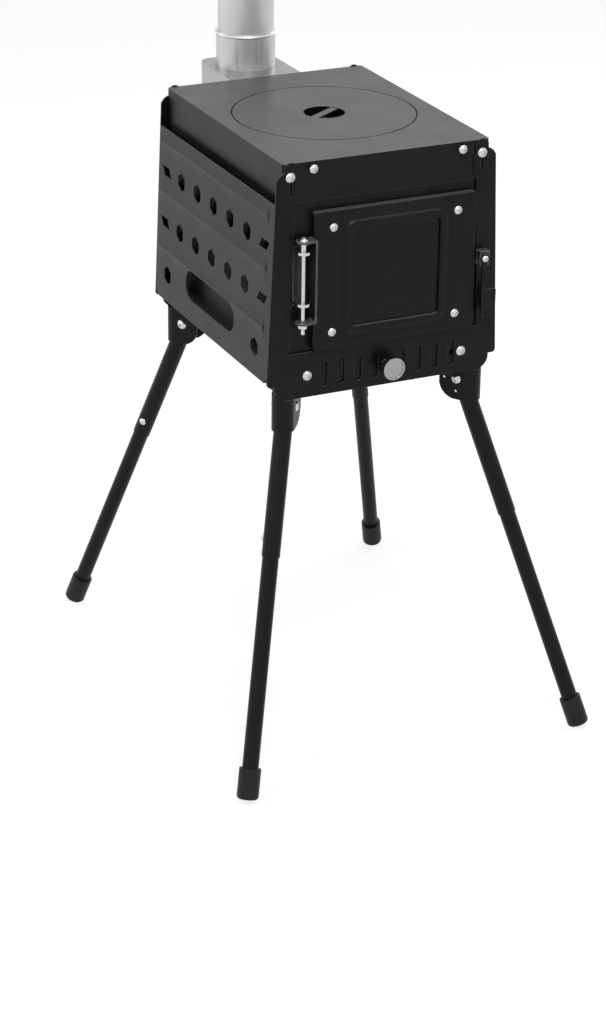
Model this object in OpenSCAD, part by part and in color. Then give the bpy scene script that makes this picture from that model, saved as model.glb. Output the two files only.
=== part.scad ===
// Folding-leg camping wood stove, built from a photograph.
// Millimetres. X right, Y back, Z up. Z = 0 is the ground, X = Y = 0 the middle of the firebox.

/* [Body] */
// Width of the top tray
tray_w = 240; // [180:1:300]
// Depth of the top tray
tray_d = 308; // [240:1:380]
// Height of the skirt round the top tray
skirt_h = 43; // [30:1:60]
// Depth of the firebox below the top
box_h = 256; // [200:1:300]
// Thickness of the sheet metal
sheet = 1.5; // [1:0.1:2.5]
// Play between sheets that are screwed together
fit = 0.1; // [0.05:0.05:0.3]
// Tray bolts from the middle
bolt_x = 86.5; // [70:0.5:95]
// Level of the tray bolts below the top
bolt_z = 7.5; // [5:0.5:12]
// Level of the grate's underside below the top
grate_z = 214; // [200:1:225]

/* [Front and rear frames] */
// Half width over the outer edges of the frame, halfway down
frame_x = 132.8; // [120:0.1:150]
// Outward lean of the frame's strips and the side shields
side_lean = 2.4; // [0:0.1:5]
// Width of each upright strip
strip_w = 23; // [15:0.5:35]
// Level below the top where the lower band starts
band_top = 209; // [190:1:230]
// Level below the top where the strips end
strip_end = 243; // [230:1:255]
// Level below the top where the band ends
band_end = 260; // [250:1:275]
// Half width of the lower band
band_x = 128; // [110:1:132]
// Inner edge of an ear
ear_in = 103.5; // [100:0.5:110]
// Step in the top of an ear
ear_out = 118.5; // [115:0.5:125]
// Height of an ear
ear_h = 36; // [30:1:50]
// Rise of an ear above the top
ear_rise = 1.5; // [0:0.5:4]
// Drop of the outer part of an ear below the top
ear_drop = 8.5; // [4:0.5:12]
// Half distance between the two ear screws
ear_x = 111.5; // [100:0.5:120]
// Level of the ear screws below the top
ear_z = 14.5; // [10:0.5:25]
// Left band screw
band_screw_l = -89.5; // [-100:0.5:-80]
// Right band screw
band_screw_r = 94.5; // [80:0.5:100]
// Level of the band screws and the knob
band_screw_z = 236; // [225:1:245]

/* [Air inlet] */
// Middle of the row of air slots
vent_x = 6; // [-10:0.5:15]
// Distance between air slots
vent_pitch = 20; // [14:0.5:26]
// Distance between the two groups of four
vent_gap = 32; // [24:1:44]
// Width of an air slot
vent_w = 8; // [5:0.5:12]
// Height of an air slot
vent_h = 29.5; // [20:0.5:40]
// Travel of the slider
slide_run = 8.6; // [4:0.1:12]
// Thickness of the slider
slider_t = 1; // [0.8:0.1:1.1]
// Knob diameter
knob_d = 25; // [16:1:35]

/* [Door] */
// Door width
door_w = 191; // [150:1:210]
// Door height
door_h = 153; // [120:1:180]
// Middle of the door from the middle of the stove
door_x = 9; // [-10:0.5:15]
// Middle of the door below the top
door_z = 130.5; // [110:0.5:150]
// Depth of the door pan
door_t = 8; // [5:0.5:14]
// Window opening width
win_w = 104; // [70:1:130]
// Window opening height
win_h = 108; // [70:0.5:120]
// Width of the raised rim round the window
rim_w = 8.5; // [4:0.5:14]
// Cover of the door over the firebox mouth at its sides
mouth_x = 15.5; // [8:0.5:20]
// Cover of the door over the firebox mouth above and below
mouth_z = 10.5; // [6:0.5:20]
// Height of the raised rim
rim_h = 2.2; // [1:0.1:4]
// Distance between door screws across
screw_px = 146; // [120:1:170]
// Distance between door screws up
screw_pz = 116; // [90:1:130]

/* [Hinge and latch] */
// Hinge pin from the middle of the stove
hinge_x = -100; // [-115:0.5:-90]
// Hinge pin in front of the front plate
hinge_y = 11.6; // [10:0.1:20]
// Hinge pin diameter
pin_d = 4.8; // [4:0.1:8]
// Radial play of a pin in its hole
pin_play = 0.06; // [0.02:0.01:0.1]
// Latch pivot from the middle of the stove
latch_x = 113; // [108:0.5:120]
// Latch pivot below the top
latch_z = 129; // [110:1:150]
// Length of the latch lever below its pivot
latch_l = 65; // [40:1:80]

/* [Top and lid] */
// Diameter of the lift-off lid
lid_d = 199.4; // [150:0.2:220]
// Gap round the lid
lid_gap = 1.7; // [0.4:0.1:2]
// Diameter of the grip well
well_d = 45.5; // [35:0.5:60]
// Depth of the grip well
well_h = 14; // [8:1:25]
// Direction of the grip bar
grip_turn = 34; // [0:1:90]

/* [Side shields] */
// Level below the top where a shield starts
shield_top = 42.5; // [35:0.5:60]
// Level below the top where a shield ends
shield_end = 240; // [230:1:255]
// Distance between hole columns
hole_px = 44.6; // [30:0.1:55]
// Middle of the hole rows behind the middle of the shield
hole_y = 1.3; // [-10:0.1:10]
// Across the corners of a hexagon hole
hex_d = 22; // [10:0.5:26]
// Length of the slanted hole at each end of a row
end_hole_l = 20; // [12:0.5:26]
// Height of a slanted hole
end_hole_h = 11; // [8:0.5:18]
// Slant of such a hole's ends, over its height
end_hole_s = 6.8; // [0:0.1:10]
// Slanted holes from the middle of the shield
end_hole_y = 132.6; // [120:0.1:136]
// Levels of the three hole rows below the top
row_1 = 90.3; // [80:0.1:100]
row_2 = 149.2; // [140:0.1:160]
row_3 = 209; // [200:0.5:222]
// Hexagons of the third row from the middle
row_3_y = 120.4; // [110:0.1:125]
// Length of the hand slot
grip_l = 134; // [90:1:150]
// Height of the hand slot
grip_h = 35; // [25:1:40]
// Middle of the hand slot below the top
slot_z = 198.5; // [190:0.5:205]
// Middle of the hand slot behind the middle of the shield
slot_y = 2; // [-10:0.5:10]
// Height of the pressed ribs
rib_h = 1.3; // [0.5:0.1:2]
// Reach of a rib above and below its crest
rib_w = 16; // [8:2:20]

/* [Flue] */
// Outside diameter of the chimney pipe
pipe_d = 64; // [50:0.5:80]
// Length of the pipe section
pipe_l = 220; // [150:1:260]
// Wall of the pipe
pipe_t = 0.8; // [0.5:0.1:1.5]
// Pipe below the bead, which is wider
tail_l = 43; // [30:1:60]
// Depth of the pipe's end below the top
tail_in = 3.6; // [3:0.1:30]
// Height of the spigot inside the pipe above the top
spigot_h = 22; // [10:1:35]
// Half width of the flue box
flue_r = 43.5; // [38:0.5:55]
// Middle of the pipe behind the middle of the stove
flue_y = 210; // [195:1:230]
// Back of the flue box behind the middle of the stove
flue_back = 249.5; // [245:0.5:280]
// Radius of the flue box's rear corners
flue_corner = 16; // [8:1:25]
// Height of the flue box
flue_h = 92; // [80:1:140]
// Sheet of the flue box and its collar
flue_t = 1.2; // [0.8:0.1:2]
// Middle of the flue box's flange below the top
flange_z = 69; // [60:1:80]
// Middle of the firebox's outlet below the top
inlet_z = 67; // [60:1:80]
// Flange screws from the middle
flange_x = 47.5; // [44:0.5:60]
// Distance between the flange screws up
flange_pz = 32; // [20:1:40]

/* [Legs] */
// Leg pivot from the middle, across
leg_x = 106; // [90:1:115]
// Leg pivot from the middle, along
leg_y = 136; // [120:1:145]
// Pivot below the firebox floor
leg_drop = 17.6; // [15:0.1:30]
// Pivot to the end of the foot
leg_l = 427; // [300:1:480]
// Pivot to the joint of the two tubes
leg_cut = 164; // [120:1:200]
// Lean of an open leg
leg_lean = 22.4; // [10:0.1:30]
// Upper tube diameter
tube_d = 20; // [16:0.5:25]
// Lower tube diameter
tube_in = 18; // [14:0.5:23]
// Length of the lower tube inside the upper one
tube_lap = 45; // [30:1:60]
// Rubber foot diameter
foot_d = 24; // [20:0.5:30]
// Rubber foot length
foot_l = 34; // [25:1:45]

/* [Hidden] */
$fn = 96;
foot_f = 4;
foot_cut = 1.2;
pivot_z = (leg_l - foot_f) * cos(leg_lean) + (foot_d / 2 - foot_f) * sin(leg_lean) + foot_f - foot_cut;
floor_z = pivot_z + leg_drop;
top_z = floor_z + box_h;
face_y = -tray_d / 2;            // outer face of the tray skirt
plate_y = face_y + sheet + fit;  // front face of the recessed front plate
frame_y = face_y - fit;          // back face of the outer frame
slider_gap = plate_y - frame_y;  // room for the slider
door_gap = 0.6;                  // between the door pan and the front plate
wall_x = tray_w / 2 - sheet - fit;
door_f = plate_y - door_gap - door_t;  // front face of the door
pin_y = plate_y - hinge_y;
head_d = 11.5;
screw_hole = 5.2;
small_screw = 4;
screw_fit = 0.02;  // how much wider a hole is than the screw that turns with it
ear_slot_w = 3.4;
ear_slot_l = 18.5;
bracket_screw_x = 13;  // from the leg's pivot inwards
bracket_screw_y = [-5.4, 5.4];
rib_front = frame_y + 15;
rib_l = 290;
ribs = [57.5, 115, 180];
side_mid = 144;  // level below the top where the leaning sides are frame_x from the middle
thin = 1.2;  // sheet of the small inner brackets
grate_w = 2 * (wall_x - sheet - 4.9);
grate_l = tray_d - 20;
grate_t = 5;
grate_slots = 5;  // on each side of the middle one
grate_slot_w = 11;
rail_l = grate_l - 8;
rail_w = 12;
rail_h = 15;
baffle_gap = 14;
lobe_w = 26;   // width of an ear's outer lobe
return_d = 7;  // depth of the frames' turned-back edges
inlet_h = 34;
steel_dark = "#2b2b2d";
steel_bright = "#c9c9cc";
corners = [[-1, -1], [1, -1], [-1, 1], [1, 1]];

// Flat shapes

module rrect(w, h, r) {
  square([w - 2 * r, h], center = true);
  square([w, h - 2 * r], center = true);
  for (x = [-1, 1], y = [-1, 1]) translate([x * (w / 2 - r), y * (h / 2 - r)]) circle(r);
}

module stadium(l, h) {
  square([l - h, h], center = true);
  for (x = [-1, 1]) translate([x * (l - h) / 2, 0]) circle(h / 2);
}

// Places a flat X-Z drawing with its front face at y and its thickness to the back
module front_sheet(y, t) {
  translate([0, y + t, 0]) rotate([90, 0, 0]) linear_extrude(t) children();
}

// Places a flat Y-Z drawing with its low-X face at x
module side_sheet(x, t) {
  translate([x, 0, 0]) rotate([90, 0, 90]) linear_extrude(t) children();
}

// Fasteners, drawn along +Z with the head's seat at z = 0

module dome_head(d, h) {
  r = (d * d / 4 + h * h) / (2 * h);
  difference() {
    intersection() {
      translate([0, 0, h - r]) sphere(r);
      cylinder(d = d, h = h);
    }
    translate([0, 0, h * 0.3]) cylinder(d = d * 0.46, h = h, $fn = 6);
  }
}

module hex_nut(af, h, hole) {
  difference() {
    cylinder(d = af / cos(30), h = h, $fn = 6);
    translate([0, 0, -1]) cylinder(d = hole, h = h + 2);
  }
}

module facing_front(x, y, z) {
  translate([x, y, z]) rotate([90, 0, 0]) children();
}

module facing_rear(x, y, z) {
  translate([x, y, z]) rotate([-90, 0, 0]) children();
}

// Top tray and lid

module top_tray() color(steel_dark) difference() {
  translate([0, 0, top_z - skirt_h]) difference() {
    linear_extrude(skirt_h) rrect(tray_w, tray_d, 3);
    translate([0, 0, -sheet]) linear_extrude(skirt_h)
      square([tray_w - 2 * sheet, tray_d - 2 * sheet], center = true);
  }
  translate([0, 0, top_z - 5]) cylinder(d = lid_d + 2 * lid_gap, h = 10);
  skirt_screw_holes();
}

// Holes for the tray bolts and the ear screws, through the skirt and what stands behind it
module skirt_screw_holes() {
  for (x = [-1, 1], y = [-1, 1], place = [[bolt_x, bolt_z], [ear_x, ear_z]])
    translate([x * place[0], y * tray_d / 2, top_z - place[1]]) rotate([90, 0, 0])
      cylinder(d = screw_hole, h = 20, center = true);
}

module lid_seat_ring() color(steel_dark) translate([0, 0, top_z - 2 * sheet]) difference() {
  cylinder(d = lid_d + 15, h = sheet);
  translate([0, 0, -1]) cylinder(d = lid_d - 13, h = sheet + 2);
}

module burner_lid() color(steel_dark) {
  difference() {
    translate([0, 0, top_z - sheet + 0.2]) cylinder(d = lid_d, h = sheet - 0.2);
    translate([0, 0, top_z - 5]) cylinder(d = well_d, h = 10);
  }
  difference() {
    translate([0, 0, top_z - well_h]) cylinder(d = well_d + 2.4, h = well_h - 0.5);
    translate([0, 0, top_z - well_h + 1.2]) cylinder(d = well_d, h = well_h + 5);
  }
}

module lid_grip_bar() color(steel_dark) intersection() {
  translate([0, 0, top_z - 3]) rotate([0, 0, grip_turn])
    translate([-well_d / 2 - 5, -4.5, 0]) cube([well_d + 10, 9, 2.5]);
  translate([0, 0, top_z - 6]) cylinder(d = well_d - 0.05, h = 8);
}

// Firebox

module firebox_shell() color("#3a3a3b") difference() {
  union() {
    translate([-wall_x, plate_y + sheet, floor_z])
      cube([2 * wall_x, tray_d - 4 - sheet, sheet]);
    for (x = [-1, 1]) translate([x * (wall_x - sheet / 2) - sheet / 2, plate_y + sheet, floor_z])
      cube([sheet, tray_d - 4 - sheet, box_h - 2]);
    translate([-wall_x, -plate_y - sheet, floor_z]) cube([2 * wall_x, sheet, box_h - 2]);
    // turned-in lips that carry the front plate
    for (x = [-1, 1]) translate([x * (wall_x - 6) - 6, plate_y + sheet, floor_z])
      cube([12, sheet, box_h - 2]);
  }
  // inlet of the flue
  translate([0, -plate_y, top_z - inlet_z]) rotate([90, 0, 0])
    linear_extrude(20, center = true) rrect(2 * inlet_h, inlet_h, 5);
  skirt_screw_holes();
  for (x = [band_screw_l, band_screw_r]) translate([x, -plate_y, top_z - band_screw_z])
    rotate([90, 0, 0]) cylinder(d = screw_hole, h = 12, center = true);
  for (c = corners) at_leg(c) bracket_holes(4.2);
  flue_screw_holes();
  // air hole behind the left hand slot
  translate([-wall_x - 5, -20, top_z - 184.5]) rotate([0, 90, 0]) cylinder(d = hex_d, h = 15, $fn = 6);
}

module bracket_holes(d) {
  for (y = bracket_screw_y) translate([-bracket_screw_x, y, leg_drop - 5]) cylinder(d = d, h = 12);
}

module at_flue_screws(y) {
  for (x = [-1, 1], z = [-1, 1])
    facing_rear(x * flange_x, y, top_z - flange_z + z * flange_pz / 2) children();
}

module flue_screw_holes() {
  at_flue_screws(-face_y - 10) cylinder(d = 4.2, h = 20);
}

module vent_row(shift) {
  for (s = [-1, 1], i = [0:3]) translate([vent_x + s * (vent_gap / 2 + i * vent_pitch) + shift, 0])
    rotate(90) stadium(vent_h, vent_w);
}

module front_plate() color(steel_dark) front_sheet(plate_y, sheet) difference() {
  translate([-wall_x, floor_z]) square([2 * wall_x, box_h - 2]);
  translate([door_x, top_z - door_z]) rrect(door_w - 2 * mouth_x, door_h - 2 * mouth_z, 6);
  translate([0, top_z - band_screw_z]) vent_row(0);
  for (x = [-1, 1], place = [[bolt_x, bolt_z], [ear_x, ear_z]])
    translate([x * place[0], top_z - place[1]]) circle(d = screw_hole);
  band_screw_holes();
}

module grate() color("#303031") translate([0, 0, top_z - grate_z]) difference() {
  translate([-grate_w / 2, -grate_l / 2, 0]) cube([grate_w, grate_l, grate_t]);
  for (i = [-grate_slots:grate_slots]) translate([i * (grate_w - 15) / (2 * grate_slots + 1), 0, -1])
    linear_extrude(grate_t + 2) rotate(90) stadium(grate_l - 24, grate_slot_w);
}

module grate_rails() color("#3a3a3b") for (x = [-1, 1]) translate([0, -rail_l / 2, top_z - grate_z]) {
  translate([x * (wall_x - sheet - thin / 2) - thin / 2, 0, -rail_h]) cube([thin, rail_l, rail_h - fit]);
  translate([x * (wall_x - sheet - rail_w / 2) - rail_w / 2, 0, -thin - fit]) cube([rail_w, rail_l, thin]);
}

module spark_baffle() color("#3a3a3b") translate([0, -plate_y - sheet - baffle_gap, top_z - flange_z]) {
  rotate([90, 0, 0]) linear_extrude(thin) difference() {
    rrect(92, 52, 6);
    for (i = [-3:3]) translate([i * 11, 0]) rotate(90) stadium(36, 5);
  }
  for (x = [-1, 1]) translate([x * 40 - 3, 0, 17]) cube([6, baffle_gap, thin]);
}

// Outer frames

// A frame's drawing on side s, with x = 0 on its leaning outer edge and y = 0 halfway down
module on_edge(s) {
  translate([s * frame_x, top_z - side_mid]) rotate(s * side_lean) children();
}

module frame_outline() {
  for (s = [-1, 1]) {
    on_edge(s) translate([-s * strip_w / 2, side_mid - (strip_end + 14) / 2])
      rrect(strip_w, strip_end - 14, 4);
    // the ear: a high lobe over the tray's corner and a lower one outside it
    translate([s * (ear_in + ear_out) / 2, top_z + ear_rise - ear_h / 2])
      rrect(ear_out - ear_in, ear_h, (ear_out - ear_in) / 2);
    on_edge(s) translate([-s * lobe_w / 2, side_mid - ear_drop - ear_h / 2]) rrect(lobe_w, ear_h, 12);
  }
}

module ear_slots() {
  for (s = [-1, 1]) translate([s * ear_x, top_z - ear_z]) {
    circle(d = screw_hole);
    translate([-ear_slot_w / 2, -ear_slot_l]) square([ear_slot_w, ear_slot_l]);
    translate([0, -ear_slot_l]) circle(d = ear_slot_w);
  }
}

module band_screw_holes() {
  for (x = [band_screw_l, band_screw_r]) translate([x, top_z - band_screw_z]) circle(d = screw_hole);
}

// Turns solids drawn on an upright side to its lean
module leaning(s) {
  translate([s * frame_x, 0, top_z - side_mid]) rotate([0, -s * side_lean, 0])
    translate([-s * frame_x, 0, side_mid - top_z]) children();
}

module side_returns(y0) {
  for (s = [-1, 1]) leaning(s)
    translate([s * (frame_x - sheet - fit - sheet / 2) - sheet / 2, y0, top_z - strip_end + 8])
      cube([sheet, return_d, strip_end - 60]);
}

module front_frame() color(steel_dark) {
  front_sheet(frame_y - sheet, sheet) difference() {
    union() {
      frame_outline();
      translate([0, top_z - (band_top + band_end) / 2]) rrect(2 * band_x, band_end - band_top, 14);
      translate([-band_x, top_z - band_top - 15]) square([2 * band_x, 15]);
    }
    translate([0, top_z - band_screw_z]) vent_row(0);
    ear_slots();
    band_screw_holes();
    translate([knob_x + slide_run / 2, top_z - band_screw_z]) stadium(slide_run + 5.6, 5.6);
    translate([latch_x, top_z - latch_z]) circle(d = small_screw + screw_fit);
  }
  side_returns(frame_y);
}

module rear_frame() color(steel_dark) {
  front_sheet(-frame_y, sheet) difference() {
    union() {
      frame_outline();
      translate([0, top_z - (band_top + band_end) / 2 + 12]) rrect(2 * band_x, band_end - band_top + 24, 14);
    }
    ear_slots();
    for (i = [-4:4]) translate([i * vent_pitch, top_z - 224]) rotate(90) stadium(vent_h, vent_w);
    band_screw_holes();
  }
  side_returns(-frame_y - return_d);
}

// Side shields, drawn on the left with +Y to the rear

module shield_outline() {
  y1 = -frame_y - 0.1;
  z0 = top_z - shield_end;
  z1 = top_z - shield_top;
  polygon([[-y1, z0 + 8], [7 - y1, z0], [y1 - 7, z0], [y1, z0 + 8], [y1, z1], [-y1, z1]]);
}

// A slanted hole whose lower edge lies nearer to the shield's middle
module end_hole() {
  l = end_hole_l / 2;
  h = end_hole_h / 2;
  s = end_hole_s / 2;
  polygon([[-l + s, h], [l + s, h], [l - s, -h], [-l - s, -h]]);
}

module shield_holes() {
  for (z = [row_1, row_2]) translate([0, top_z - z]) {
    for (i = [-2:2]) translate([hole_y + i * hole_px, 0]) rotate(30) circle(d = hex_d, $fn = 6);
    for (s = [-1, 1]) translate([s * end_hole_y, 0]) mirror([s < 0 ? 1 : 0, 0]) end_hole();
  }
  for (s = [-1, 1]) translate([hole_y + s * row_3_y, top_z - row_3]) rotate(30) circle(d = hex_d, $fn = 6);
  translate([slot_y, top_z - slot_z]) stadium(grip_l, grip_h);
}

// Pressed rib, drawn across: sharp at its crest and running out softly above and below
module rib_drawing() {
  steps = [-rib_w : 2 : rib_w];
  polygon([for (t = steps) [rib_h * (exp(-abs(t) / 6) - exp(-rib_w / 6)), t]]);
}

module shield(s) {
  mirror([s < 0 ? 0 : 1, 0, 0]) leaning(-1) {
    difference() {
      union() {
        side_sheet(-frame_x, sheet) shield_outline();
        for (z = ribs) translate([-frame_x, rib_front, top_z - z]) rotate([-90, 0, 0]) mirror([0, 1, 0])
          linear_extrude(rib_l) mirror([1, 0, 0]) rib_drawing();
      }
      side_sheet(-frame_x - 3, sheet + 4) shield_holes();
    }
    // turned-in bottom lip
    translate([-frame_x, frame_y + 10, top_z - shield_end]) cube([11, -2 * frame_y - 20, sheet]);
  }
}

module side_shield_left() color("#333335") shield(-1);

module side_shield_right() color("#333335") shield(1);

// Door

module at_door() {
  translate([door_x, 0, top_z - door_z]) children();
}

module door_panel() color(steel_dark) at_door() difference() {
  union() {
    front_sheet(door_f, door_t) difference() {
      rrect(door_w, door_h, 4);
      rrect(door_w - 2 * sheet, door_h - 2 * sheet, 2.5);
    }
    front_sheet(door_f, sheet) rrect(door_w - 1, door_h - 1, 4);
    front_sheet(door_f - rim_h, rim_h + 0.5) rrect(win_w + 2 * rim_w, win_h + 2 * rim_w, 14);
  }
  front_sheet(door_f - 10, 30) rrect(win_w, win_h, 7);
  front_sheet(door_f - rim_h + sheet, 10)
    rrect(win_w + 2 * (rim_w - sheet), win_h + 2 * (rim_w - sheet), 12);
  at_door_screws(door_f + 5) cylinder(d = 4.2, h = 10);
}

module at_door_screws(y) {
  for (x = [-1, 1], z = [-1, 1]) facing_front(x * screw_px / 2, y, z * screw_pz / 2) children();
}

module door_glass() color("#20242855") at_door()
  front_sheet(door_f + sheet + fit, 3.5) rrect(win_w + 22, win_h + 22, 6);

retainer_y = 5.6;  // from the door's face to the retainer's plate

module glass_retainer() color("#4a4a4c") at_door() difference() {
  union() {
    front_sheet(door_f + retainer_y, thin) rrect(screw_px + 16, screw_pz + 18, 6);
    at_door_screws(door_f + retainer_y + 0.1) cylinder(d = 8, h = retainer_y + 0.1 - sheet);
  }
  front_sheet(door_f, 20) rrect(win_w + 6, win_h + 6, 7);
  at_door_screws(door_f + 15) cylinder(d = 4.2, h = 20);
}

module door_gasket() color("#8b8b84") at_door()
  front_sheet(door_f + sheet + fit, door_t + door_gap - sheet - 0.4) difference() {
    rrect(door_w - 2 * sheet - 0.6, door_h - 2 * sheet - 0.6, 4);
    rrect(door_w - 2 * sheet - 12, door_h - 2 * sheet - 12, 4);
  }

module door_screws() color(steel_bright) at_door() at_door_screws(door_f) {
  dome_head(head_d - 1.5, 2.8);
  translate([0, 0, -11]) cylinder(d = small_screw, h = 11.2);
}

module door_nuts() color(steel_bright) at_door() at_door_screws(door_f + 10)
  hex_nut(7, 3.1, small_screw + 0.05);

// Hinge

pin_hole = pin_d + 2 * pin_play;
ears_door = [82, 171.5];     // levels of the bracket's ears below the top
ears_stove = [93.7, 150.6];  // levels of the knuckles below the top
ear_t = 2;
door_plate_t = 1.8;
knuckle_r = 7.5;
knuckle_t = 3;
collar_play = 0.2;
pin_end = 184;               // level of the pin's lower end below the top

module pin_bore(d) {
  translate([hinge_x, pin_y, top_z - 250]) cylinder(d = d, h = 220);
}

module hinge_bracket_door() color("#3a3a3c") difference() {
  edge = door_x - door_w / 2;
  union() {
    translate([edge - door_plate_t, pin_y - 6, top_z - ears_door[1] - ear_t / 2])
      cube([door_plate_t, 16, ears_door[1] - ears_door[0] + ear_t]);
    for (z = ears_door) translate([0, 0, top_z - z - ear_t / 2]) linear_extrude(ear_t) {
      translate([hinge_x, pin_y]) circle(8);
      translate([hinge_x, pin_y - 6]) square([edge - hinge_x, 14]);
    }
  }
  pin_bore(pin_hole);
}

hinge_plate_t = 1.8;

module hinge_bracket_stove() color("#3a3a3c")
  translate([hinge_x - knuckle_r, plate_y - hinge_plate_t, top_z - ears_stove[1] - 4])
    cube([2 * knuckle_r, hinge_plate_t, ears_stove[1] - ears_stove[0] + 8]);

// Eyes welded to the plate of the stove's bracket
module hinge_knuckles() color(steel_bright) difference() {
  for (z = ears_stove) translate([0, 0, top_z - z - knuckle_t / 2]) linear_extrude(knuckle_t) {
    translate([hinge_x, pin_y]) circle(knuckle_r);
    translate([hinge_x - knuckle_r, pin_y]) square([2 * knuckle_r, plate_y - hinge_plate_t - pin_y]);
  }
  pin_bore(pin_d + screw_fit);
}

module hinge_pin() color(steel_bright) translate([hinge_x, pin_y, 0]) {
  seat = ears_door[0] - ear_t / 2 - 0.4;
  translate([0, 0, top_z - pin_end]) cylinder(d = pin_d, h = pin_end - seat + 0.2);
  translate([0, 0, top_z - seat]) dome_head(11, 3.2);
  // collar between the two upper ears, which carries the door
  translate([0, 0, top_z - ears_stove[0] + knuckle_t / 2])
    cylinder(d = 6.4, h = ears_stove[0] - ears_door[0] - (knuckle_t + ear_t) / 2 - collar_play);
}

module hinge_nut() color(steel_bright) translate([hinge_x, pin_y, top_z - ears_door[1] - ear_t / 2 - 4.6])
  hex_nut(9, 4, pin_d);

// Latch

latch_y = door_f - 7.2;  // front face of the lever

module latch_bracket() color("#b4b4b7") difference() {
  union() {
    translate([latch_x - 5, frame_y - sheet - thin, top_z - latch_z - 8]) cube([11, thin, 16]);
    translate([latch_x - 5, latch_y + 2.2, top_z - latch_z + 8 - thin])
      cube([11, frame_y - sheet - latch_y - 2.2, thin]);
    translate([latch_x - 5, latch_y + 2.2, top_z - latch_z - 8]) cube([11, thin, 16]);
  }
  facing_front(latch_x, frame_y + 5, top_z - latch_z) cylinder(d = small_screw + screw_fit, h = 30);
}

module latch_lever() color(steel_dark) difference() {
  union() {
    front_sheet(latch_y, 2) {
      translate([latch_x, top_z - latch_z]) circle(5);
      translate([latch_x - 2.5, top_z - latch_z - latch_l]) square([5, latch_l]);
      translate([latch_x + 7, top_z - latch_z - latch_l + 15]) rrect(15, 30, 2);
    }
    translate([latch_x - 2.5, latch_y, top_z - latch_z - latch_l]) cube([2, 3.2, latch_l - 14]);
  }
  facing_front(latch_x, latch_y + 10, top_z - latch_z) cylinder(d = small_screw + 2 * pin_play, h = 30);
}

module latch_screw() color(steel_bright) facing_front(latch_x, latch_y - 0.2, top_z - latch_z) {
  dome_head(7.5, 2.4);
  translate([0, 0, latch_y - frame_y - 1]) cylinder(d = small_screw, h = frame_y + 1 - latch_y);
}

// Air slider

slider_y = plate_y - (slider_gap + slider_t) / 2;  // front face of the slider
knob_x = vent_x - 2;

module air_slider() color("#39393b") front_sheet(slider_y, slider_t) difference() {
  translate([-1.5, top_z - band_screw_z]) rrect(206, vent_h + 7.5, 3);
  translate([0, top_z - band_screw_z]) vent_row(-slide_run);
  for (x = [band_screw_l, band_screw_r]) translate([x - slide_run / 2, top_z - band_screw_z])
    stadium(slide_run + 8.6, 8.6);
  translate([knob_x, top_z - band_screw_z]) circle(d = small_screw + 0.05);
}

module frame_spacers() color(steel_bright) for (x = [band_screw_l, band_screw_r]) {
  facing_front(x, plate_y, top_z - band_screw_z) frame_spacer();
  facing_rear(x, -plate_y, top_z - band_screw_z) frame_spacer();
}

module frame_spacer() {
  difference() {
    cylinder(d = 8, h = slider_gap);
    translate([0, 0, -1]) cylinder(d = screw_hole, h = 10);
  }
}

module knob_screw() color(steel_bright)
  facing_front(knob_x, slider_y + slider_t, top_z - band_screw_z) cylinder(d = small_screw, h = 17);

module air_knob() color(steel_bright) facing_front(knob_x, frame_y - sheet - 0.4, top_z - band_screw_z)
  difference() {
    union() {
      cylinder(d = 12.5, h = 1.4);
      cylinder(d = 8, h = 14);
      translate([0, 0, 11]) cylinder(d = knob_d, h = 8);
    }
    translate([0, 0, 18]) cylinder(d = knob_d - 4, h = 2);
    translate([0, 0, -1]) cylinder(d = small_screw + screw_fit, h = 15.2);
  }

// Screws of the body

module tray_bolts() color(steel_bright) for (x = [-1, 1]) {
  facing_front(x * bolt_x, face_y, top_z - bolt_z) tray_bolt();
  facing_rear(x * bolt_x, -face_y, top_z - bolt_z) tray_bolt();
}

// A screw that stands off the skirt on a nut
module tray_bolt() {
  cylinder(d = 9.6, h = 3.2, $fn = 6);
  translate([0, 0, 4.6]) dome_head(10, 3);
  translate([0, 0, -8]) cylinder(d = 5, h = 13.2);
  translate([0, 0, -2 * sheet - 2 * fit - 3.4]) cylinder(d = 9.2, h = 3.4, $fn = 6);
}

// A screw through sheets of this thickness in all, with its nut
module frame_screw(grip) {
  dome_head(head_d, 3.2);
  translate([0, 0, -grip - 4.5]) cylinder(d = 5, h = grip + 4.7);
  translate([0, 0, -grip - 3.2 - fit]) cylinder(d = 8.2, h = 3.2, $fn = 6);
}

module ear_screws() color(steel_bright) for (x = [-1, 1]) {
  facing_front(x * ear_x, frame_y - sheet, top_z - ear_z) frame_screw(3 * sheet + slider_gap);
  facing_rear(x * ear_x, -frame_y + sheet, top_z - ear_z) frame_screw(2 * sheet + slider_gap);
}

module band_screws() color(steel_bright) for (x = [band_screw_l, band_screw_r]) {
  facing_front(x, frame_y - sheet, top_z - band_screw_z) frame_screw(2 * sheet + slider_gap);
  facing_rear(x, -frame_y + sheet, top_z - band_screw_z) frame_screw(2 * sheet + slider_gap);
}

// Flue

flange_h = 46;

// The flue box seen from above, smaller by the inset
module flue_plan(inset) {
  w = flue_r - inset;
  back = flue_back - inset;
  front = -face_y + 2 * fit;
  translate([0, back - flue_r]) rrect(2 * w, 2 * flue_r, flue_corner - inset);
  translate([-w, front]) square([2 * w, back - flue_r - front]);
}

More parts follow.
